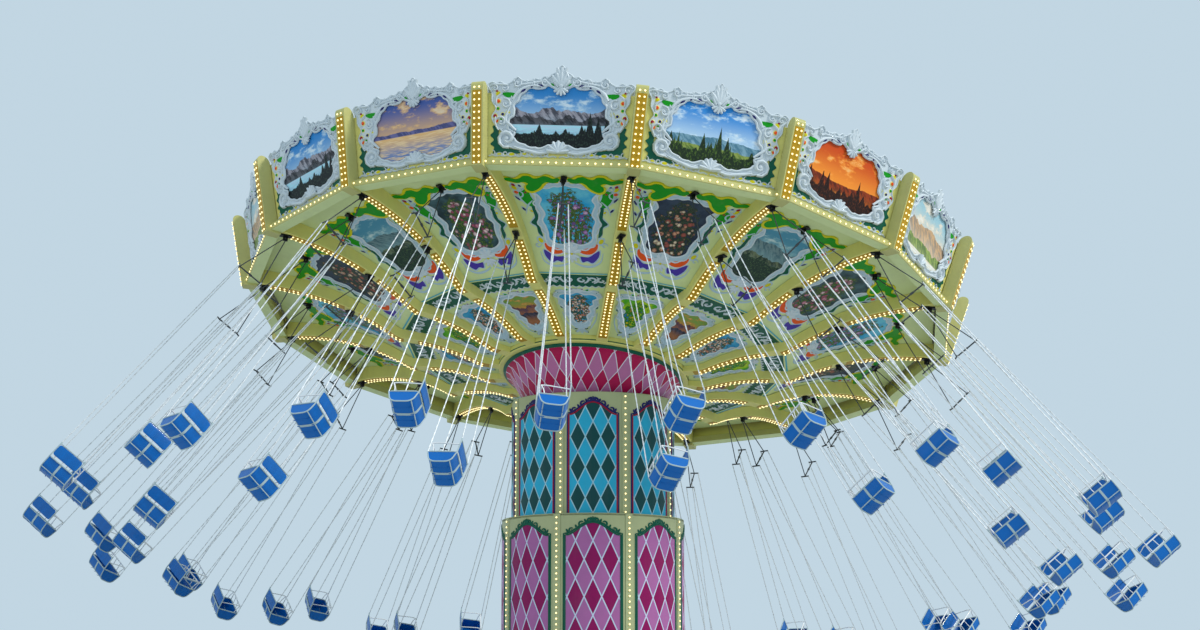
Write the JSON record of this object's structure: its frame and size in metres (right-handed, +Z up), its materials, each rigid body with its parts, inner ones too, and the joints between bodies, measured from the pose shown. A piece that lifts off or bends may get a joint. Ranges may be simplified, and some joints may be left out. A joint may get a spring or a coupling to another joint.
{
  "type": "chair swing ride",
  "caption": "Wave swing carousel with a telescoping column, a tilting scalloped canopy with bulb-lit rim boards, and chairs on chains in flight.",
  "frame": {"origin": "centre of the plinth underside, on the ground, on the column axis", "axes": "+Z up along the column; the picture looks along +Y with +X to its right; the canopy leans back to azimuth 70.2 degrees from +X"},
  "size_m": [19.9632, 19.6681, 11.4778],
  "materials": {
    "cream_paint": "satin cream enamel",
    "yellow_paint": "satin warm yellow enamel",
    "white_ornament": "satin white enamel with coloured touches",
    "crimson_panel": "crimson and lilac harlequin enamel",
    "lilac_panel": "lilac and magenta harlequin enamel",
    "teal_panel": "cyan and dark green harlequin enamel",
    "ceiling_paint": "pale blue grey enamel with painted scrollwork",
    "roof_sheet": "matt pale grey",
    "dark_steel": "dark grey enamel, greased",
    "chair_blue": "blue enamel",
    "frame_grey": "light grey enamel",
    "black_fitting": "black enamel",
    "green_paint": "dark green enamel",
    "chain_steel": "zinc plated",
    "bulb_glass": "frosted warm lamp"
  },
  "bodies": {
    "base": {"base_plinth": "cream_paint", "lower_drum": "lilac_panel", "lift_cylinder": "dark_steel"},
    "mast": {"upper_drum": "teal_panel"},
    "tilt_head": {"tilt_turntable": "dark_steel"},
    "canopy": {"capital_cone": "crimson_panel", "canopy_ribs": "cream_paint", "canopy_ceiling": "ceiling_paint", "canopy_roof": "roof_sheet", "roof_cap": "cream_paint", "rounding_boards": "white_ornament", "corner_pilasters": "yellow_paint"},
    "seat_01": {"chair_01": "chair_blue"},
    "seat_02": {"chair_02": "chair_blue"},
    "seat_03": {"chair_03": "chair_blue"},
    "seat_04": {"chair_04": "chair_blue"},
    "seat_05": {"chair_05": "chair_blue"},
    "seat_06": {"chair_06": "chair_blue"},
    "seat_07": {"chair_07": "chair_blue"},
    "seat_08": {"chair_08": "chair_blue"},
    "seat_09": {"chair_09": "chair_blue"},
    "seat_10": {"chair_10": "chair_blue"},
    "seat_11": {"chair_11": "chair_blue"},
    "seat_12": {"chair_12": "chair_blue"},
    "seat_13": {"chair_13": "chair_blue"},
    "seat_14": {"chair_14": "chair_blue"},
    "seat_15": {"chair_15": "chair_blue"},
    "seat_16": {"chair_16": "chair_blue"},
    "seat_17": {"chair_17": "chair_blue"},
    "seat_18": {"chair_18": "chair_blue"},
    "seat_19": {"chair_19": "chair_blue"},
    "seat_20": {"chair_20": "chair_blue"},
    "seat_21": {"chair_21": "chair_blue"},
    "seat_22": {"chair_22": "chair_blue"},
    "seat_23": {"chair_23": "chair_blue"},
    "seat_24": {"chair_24": "chair_blue"},
    "seat_25": {"chair_25": "chair_blue"},
    "seat_26": {"chair_26": "chair_blue"},
    "seat_27": {"chair_27": "chair_blue"},
    "seat_28": {"chair_28": "chair_blue"},
    "seat_29": {"chair_29": "chair_blue"},
    "seat_30": {"chair_30": "chair_blue"},
    "seat_31": {"chair_31": "chair_blue"},
    "seat_32": {"chair_32": "chair_blue"},
    "seat_33": {"chair_33": "chair_blue"},
    "seat_34": {"chair_34": "chair_blue"},
    "seat_35": {"chair_35": "chair_blue"},
    "seat_36": {"chair_36": "chair_blue"},
    "seat_37": {"chair_37": "chair_blue"},
    "seat_38": {"chair_38": "chair_blue"},
    "seat_39": {"chair_39": "chair_blue"},
    "seat_40": {"chair_40": "chair_blue"},
    "seat_41": {"chair_41": "chair_blue"},
    "seat_42": {"chair_42": "chair_blue"},
    "seat_43": {"chair_43": "chair_blue"},
    "seat_44": {"chair_44": "chair_blue"},
    "seat_45": {"chair_45": "chair_blue"},
    "seat_46": {"chair_46": "chair_blue"},
    "seat_47": {"chair_47": "chair_blue"},
    "seat_48": {"chair_48": "chair_blue"}
  },
  "joints": [
    {"name": "lift", "type": "slide", "parent": "base", "child": "mast", "axis": [0, 0, 1], "range_m": [-2, 0]},
    {"name": "tilt", "type": "hinge", "parent": "mast", "child": "tilt_head", "pos_m": [0, 0, 7.4], "axis": [-0.9409, 0.3387, 0], "range_deg": [-14, 0]},
    {"name": "spin", "type": "hinge", "parent": "tilt_head", "child": "canopy", "pos_m": [0, 0, 7.4], "axis": [0.0819, 0.2276, 0.9703], "continuous": true},
    {"name": "swing_01", "type": "hinge", "parent": "canopy", "child": "seat_01", "pos_m": [0.6072, -5.6025, 9.687], "axis": [-0.9247, -0.3458, 0.1592], "range_deg": [-30.54, 2]},
    {"name": "swing_02", "type": "hinge", "parent": "canopy", "child": "seat_02", "pos_m": [2.8467, -5.0051, 9.3577], "axis": [-0.645, -0.7301, 0.2258], "range_deg": [-35.3, 2.4]},
    {"name": "swing_03", "type": "hinge", "parent": "canopy", "child": "seat_03", "pos_m": [4.6652, -3.6113, 8.8771], "axis": [-0.2947, -0.9245, 0.2418], "range_deg": [-40.7, 2.7]},
    {"name": "swing_04", "type": "hinge", "parent": "canopy", "child": "seat_04", "pos_m": [5.7859, -1.6332, 8.3184], "axis": [0.0514, -0.9732, 0.224], "range_deg": [-45.8, 3.1]},
    {"name": "swing_05", "type": "hinge", "parent": "canopy", "child": "seat_05", "pos_m": [6.0381, 0.6279, 7.7667], "axis": [0.3663, -0.9123, 0.1831], "range_deg": [-50.3, 3.4]},
    {"name": "swing_06", "type": "hinge", "parent": "canopy", "child": "seat_06", "pos_m": [5.3834, 2.8279, 7.3059], "axis": [0.6347, -0.7625, 0.1253], "range_deg": [-53.7, 3.6]},
    {"name": "swing_07", "type": "hinge", "parent": "canopy", "child": "seat_07", "pos_m": [3.9216, 4.6317, 7.0062], "axis": [0.8401, -0.5395, 0.0556], "range_deg": [-55.7, 3.7]},
    {"name": "swing_08", "type": "hinge", "parent": "canopy", "child": "seat_08", "pos_m": [1.8752, 5.7649, 6.9132], "axis": [0.9645, -0.2633, -0.0197], "range_deg": [-56.1, 3.8]},
    {"name": "swing_09", "type": "hinge", "parent": "canopy", "child": "seat_09", "pos_m": [-0.4444, 6.0548, 7.0411], "axis": [0.9949, 0.0388, -0.0931], "range_deg": [-54.8, 3.7]},
    {"name": "swing_10", "type": "hinge", "parent": "canopy", "child": "seat_10", "pos_m": [-2.6839, 5.4574, 7.3704], "axis": [0.9281, 0.3374, -0.1575], "range_deg": [-52.1, 3.5]},
    {"name": "swing_11", "type": "hinge", "parent": "canopy", "child": "seat_11", "pos_m": [-4.5024, 4.0636, 7.8509], "axis": [0.7674, 0.6068, -0.2072], "range_deg": [-48.1, 3.2]},
    {"name": "swing_12", "type": "hinge", "parent": "canopy", "child": "seat_12", "pos_m": [-5.623, 2.0855, 8.4096], "axis": [0.5156, 0.8235, -0.2367], "range_deg": [-43.2, 2.9]},
    {"name": "swing_13", "type": "hinge", "parent": "canopy", "child": "seat_13", "pos_m": [-5.8752, -0.1756, 8.9614], "axis": [0.1708, 0.956, -0.2387], "range_deg": [-37.9, 2.6]},
    {"name": "swing_14", "type": "hinge", "parent": "canopy", "child": "seat_14", "pos_m": [-5.2206, -2.3756, 9.4221], "axis": [-0.26, 0.9447, -0.1997], "range_deg": [-32.8, 2.2]},
    {"name": "swing_15", "type": "hinge", "parent": "canopy", "child": "seat_15", "pos_m": [-3.7588, -4.1794, 9.7219], "axis": [-0.7075, 0.6989, -0.1042], "range_deg": [-29.1, 2]},
    {"name": "swing_16", "type": "hinge", "parent": "canopy", "child": "seat_16", "pos_m": [-1.7123, -5.3126, 9.8148], "axis": [-0.9789, 0.201, 0.0355], "range_deg": [-28.3, 1.9]},
    {"name": "swing_17", "type": "hinge", "parent": "canopy", "child": "seat_17", "pos_m": [1.5931, -4.7578, 9.6024], "axis": [-0.7954, -0.5717, 0.2013], "range_deg": [-32.9, 2.3]},
    {"name": "swing_18", "type": "hinge", "parent": "canopy", "child": "seat_18", "pos_m": [3.4377, -3.8527, 9.2343], "axis": [-0.4613, -0.8543, 0.2394], "range_deg": [-38.1, 2.6]},
    {"name": "swing_19", "type": "hinge", "parent": "canopy", "child": "seat_19", "pos_m": [4.7738, -2.3199, 8.7619], "axis": [-0.1066, -0.966, 0.2356], "range_deg": [-43.5, 2.9]},
    {"name": "swing_20", "type": "hinge", "parent": "canopy", "child": "seat_20", "pos_m": [5.3978, -0.393, 8.2571], "axis": [0.2245, -0.9528, 0.2046], "range_deg": [-48.3, 3.3]},
    {"name": "swing_21", "type": "hinge", "parent": "canopy", "child": "seat_21", "pos_m": [5.2149, 1.6349, 7.7969], "axis": [0.5147, -0.8433, 0.1544], "range_deg": [-52.2, 3.5]},
    {"name": "swing_22", "type": "hinge", "parent": "canopy", "child": "seat_22", "pos_m": [4.2528, 3.4549, 7.4512], "axis": [0.7501, -0.6551, 0.0903], "range_deg": [-54.9, 3.7]},
    {"name": "swing_23", "type": "hinge", "parent": "canopy", "child": "seat_23", "pos_m": [2.6581, 4.79, 7.2727], "axis": [0.9141, -0.405, 0.0178], "range_deg": [-56.1, 3.8]},
    {"name": "swing_24", "type": "hinge", "parent": "canopy", "child": "seat_24", "pos_m": [0.6735, 5.4369, 7.2885], "axis": [0.9916, -0.1159, -0.0566], "range_deg": [-55.7, 3.7]},
    {"name": "swing_25", "type": "hinge", "parent": "canopy", "child": "seat_25", "pos_m": [-1.3989, 5.2971, 7.4964], "axis": [0.9748, 0.1844, -0.1256], "range_deg": [-53.7, 3.6]},
    {"name": "swing_26", "type": "hinge", "parent": "canopy", "child": "seat_26", "pos_m": [-3.2436, 4.392, 7.8645], "axis": [0.8639, 0.4693, -0.183], "range_deg": [-50.3, 3.4]},
    {"name": "swing_27", "type": "hinge", "parent": "canopy", "child": "seat_27", "pos_m": [-4.5796, 2.8592, 8.3369], "axis": [0.6616, 0.7157, -0.2238], "range_deg": [-45.9, 3.1]},
    {"name": "swing_28", "type": "hinge", "parent": "canopy", "child": "seat_28", "pos_m": [-5.2037, 0.9322, 8.8417], "axis": [0.3669, 0.8983, -0.2417], "range_deg": [-40.8, 2.8]},
    {"name": "swing_29", "type": "hinge", "parent": "canopy", "child": "seat_29", "pos_m": [-5.0208, -1.0956, 9.3019], "axis": [-0.0228, 0.9737, -0.2265], "range_deg": [-35.4, 2.4]},
    {"name": "swing_30", "type": "hinge", "parent": "canopy", "child": "seat_30", "pos_m": [-4.0587, -2.9156, 9.6476], "axis": [-0.482, 0.8612, -0.1613], "range_deg": [-30.8, 2.1]},
    {"name": "swing_31", "type": "hinge", "parent": "canopy", "child": "seat_31", "pos_m": [-2.4639, -4.2507, 9.8261], "axis": [-0.8782, 0.4768, -0.0377], "range_deg": [-28.3, 1.9]},
    {"name": "swing_32", "type": "hinge", "parent": "canopy", "child": "seat_32", "pos_m": [-0.4793, -4.8976, 9.8103], "axis": [-0.9906, -0.0885, 0.1044], "range_deg": [-29.1, 2]},
    {"name": "swing_33", "type": "hinge", "parent": "canopy", "child": "seat_33", "pos_m": [0.4423, -4.1167, 9.0421], "axis": [-0.9251, -0.3447, 0.159], "range_deg": [-30.7, 2.1]},
    {"name": "swing_34", "type": "hinge", "parent": "canopy", "child": "seat_34", "pos_m": [2.0846, -3.6786, 8.8006], "axis": [-0.6463, -0.729, 0.2256], "range_deg": [-35.3, 2.4]},
    {"name": "swing_35", "type": "hinge", "parent": "canopy", "child": "seat_35", "pos_m": [3.4182, -2.6565, 8.4482], "axis": [-0.2964, -0.9239, 0.2418], "range_deg": [-40.7, 2.7]},
    {"name": "swing_36", "type": "hinge", "parent": "canopy", "child": "seat_36", "pos_m": [4.24, -1.2059, 8.0385], "axis": [0.0497, -0.9733, 0.2241], "range_deg": [-45.8, 3.1]},
    {"name": "swing_37", "type": "hinge", "parent": "canopy", "child": "seat_37", "pos_m": [4.425, 0.4523, 7.6339], "axis": [0.3649, -0.9128, 0.1833], "range_deg": [-50.3, 3.4]},
    {"name": "swing_38", "type": "hinge", "parent": "canopy", "child": "seat_38", "pos_m": [3.9449, 2.0656, 7.296], "axis": [0.6339, -0.7632, 0.1255], "range_deg": [-53.7, 3.6]},
    {"name": "swing_39", "type": "hinge", "parent": "canopy", "child": "seat_39", "pos_m": [2.8729, 3.3884, 7.0762], "axis": [0.8398, -0.54, 0.0557], "range_deg": [-55.7, 3.7]},
    {"name": "swing_40", "type": "hinge", "parent": "canopy", "child": "seat_40", "pos_m": [1.3722, 4.2194, 7.008], "axis": [0.9645, -0.2633, -0.0197], "range_deg": [-56.1, 3.8]},
    {"name": "swing_41", "type": "hinge", "parent": "canopy", "child": "seat_41", "pos_m": [-0.3288, 4.432, 7.1018], "axis": [0.9949, 0.0394, -0.0933], "range_deg": [-54.8, 3.7]},
    {"name": "swing_42", "type": "hinge", "parent": "canopy", "child": "seat_42", "pos_m": [-1.9711, 3.9939, 7.3433], "axis": [0.9276, 0.3385, -0.1578], "range_deg": [-52, 3.5]},
    {"name": "swing_43", "type": "hinge", "parent": "canopy", "child": "seat_43", "pos_m": [-3.3047, 2.9717, 7.6957], "axis": [0.7664, 0.6079, -0.2073], "range_deg": [-48, 3.2]},
    {"name": "swing_44", "type": "hinge", "parent": "canopy", "child": "seat_44", "pos_m": [-4.1265, 1.5212, 8.1054], "axis": [0.514, 0.8244, -0.2368], "range_deg": [-43.2, 2.9]},
    {"name": "swing_45", "type": "hinge", "parent": "canopy", "child": "seat_45", "pos_m": [-4.3115, -0.137, 8.51], "axis": [0.1689, 0.9563, -0.2386], "range_deg": [-37.9, 2.6]},
    {"name": "swing_46", "type": "hinge", "parent": "canopy", "child": "seat_46", "pos_m": [-3.8314, -1.7503, 8.8479], "axis": [-0.2617, 0.9443, -0.1994], "range_deg": [-32.8, 2.2]},
    {"name": "swing_47", "type": "hinge", "parent": "canopy", "child": "seat_47", "pos_m": [-2.7594, -3.0731, 9.0677], "axis": [-0.7083, 0.6982, -0.104], "range_deg": [-29.1, 2]},
    {"name": "swing_48", "type": "hinge", "parent": "canopy", "child": "seat_48", "pos_m": [-1.2587, -3.9041, 9.1359], "axis": [-0.9789, 0.2011, 0.0355], "range_deg": [-28.3, 1.9]}
  ],
  "couplings": [
    {"joint": "swing_02", "follows": "swing_01", "ratio": 1.1514},
    {"joint": "swing_03", "follows": "swing_01", "ratio": 1.3271},
    {"joint": "swing_04", "follows": "swing_01", "ratio": 1.4964},
    {"joint": "swing_05", "follows": "swing_01", "ratio": 1.6422},
    {"joint": "swing_06", "follows": "swing_01", "ratio": 1.7529},
    {"joint": "swing_07", "follows": "swing_01", "ratio": 1.8187},
    {"joint": "swing_08", "follows": "swing_01", "ratio": 1.8318},
    {"joint": "swing_09", "follows": "swing_01", "ratio": 1.7905},
    {"joint": "swing_10", "follows": "swing_01", "ratio": 1.6996},
    {"joint": "swing_11", "follows": "swing_01", "ratio": 1.5687},
    {"joint": "swing_12", "follows": "swing_01", "ratio": 1.4095},
    {"joint": "swing_13", "follows": "swing_01", "ratio": 1.2358},
    {"joint": "swing_14", "follows": "swing_01", "ratio": 1.0695},
    {"joint": "swing_15", "follows": "swing_01", "ratio": 0.9486},
    {"joint": "swing_16", "follows": "swing_01", "ratio": 0.9203},
    {"joint": "swing_17", "follows": "swing_01", "ratio": 1.0733},
    {"joint": "swing_18", "follows": "swing_01", "ratio": 1.2441},
    {"joint": "swing_19", "follows": "swing_01", "ratio": 1.4198},
    {"joint": "swing_20", "follows": "swing_01", "ratio": 1.5779},
    {"joint": "swing_21", "follows": "swing_01", "ratio": 1.7057},
    {"joint": "swing_22", "follows": "swing_01", "ratio": 1.7932},
    {"joint": "swing_23", "follows": "swing_01", "ratio": 1.8322},
    {"joint": "swing_24", "follows": "swing_01", "ratio": 1.8181},
    {"joint": "swing_25", "follows": "swing_01", "ratio": 1.7525},
    {"joint": "swing_26", "follows": "swing_01", "ratio": 1.6423},
    {"joint": "swing_27", "follows": "swing_01", "ratio": 1.4974},
    {"joint": "swing_28", "follows": "swing_01", "ratio": 1.3295},
    {"joint": "swing_29", "follows": "swing_01", "ratio": 1.1548},
    {"joint": "swing_30", "follows": "swing_01", "ratio": 1.0027},
    {"joint": "swing_31", "follows": "swing_01", "ratio": 0.9207},
    {"joint": "swing_32", "follows": "swing_01", "ratio": 0.9487},
    {"joint": "swing_33", "follows": "swing_01", "ratio": 0.9997},
    {"joint": "swing_34", "follows": "swing_01", "ratio": 1.1507},
    {"joint": "swing_35", "follows": "swing_01", "ratio": 1.3262},
    {"joint": "swing_36", "follows": "swing_01", "ratio": 1.4955},
    {"joint": "swing_37", "follows": "swing_01", "ratio": 1.6415},
    {"joint": "swing_38", "follows": "swing_01", "ratio": 1.7526},
    {"joint": "swing_39", "follows": "swing_01", "ratio": 1.8186},
    {"joint": "swing_40", "follows": "swing_01", "ratio": 1.8318},
    {"joint": "swing_41", "follows": "swing_01", "ratio": 1.7903},
    {"joint": "swing_42", "follows": "swing_01", "ratio": 1.6991},
    {"joint": "swing_43", "follows": "swing_01", "ratio": 1.568},
    {"joint": "swing_44", "follows": "swing_01", "ratio": 1.4086},
    {"joint": "swing_45", "follows": "swing_01", "ratio": 1.235},
    {"joint": "swing_46", "follows": "swing_01", "ratio": 1.0689},
    {"joint": "swing_47", "follows": "swing_01", "ratio": 0.9484},
    {"joint": "swing_48", "follows": "swing_01", "ratio": 0.9203}
  ]
}
